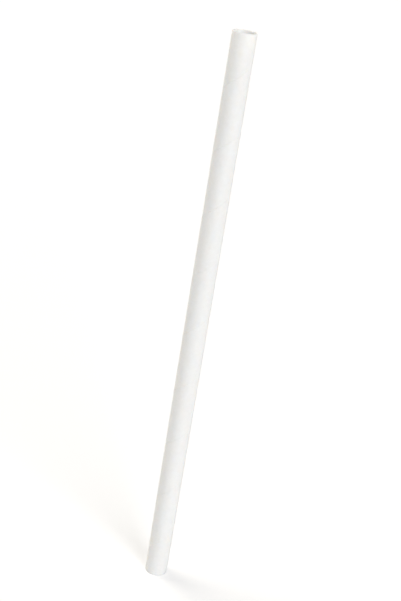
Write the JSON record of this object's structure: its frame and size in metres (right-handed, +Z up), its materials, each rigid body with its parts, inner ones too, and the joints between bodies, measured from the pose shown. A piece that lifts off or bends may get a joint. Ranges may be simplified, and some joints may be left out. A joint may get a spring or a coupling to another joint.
{
  "type": "paper drinking straw",
  "caption": "Plain white paper drinking straw: a straight round tube of wound, glued paper strip, open and cut square at both ends, with a faint spiral seam.",
  "frame": {"origin": "on the surface that the straw stands on, on its axis, at the foot", "axes": "+Z up the straw's axis, towards the end that is drunk from; +Y away from the picture's camera; +X to its right"},
  "size_m": [0.008, 0.008, 0.197],
  "materials": {
    "paper": "matt uncoated paper"
  },
  "bodies": {
    "root": {"straw_tube": "paper"}
  },
  "joints": []
}
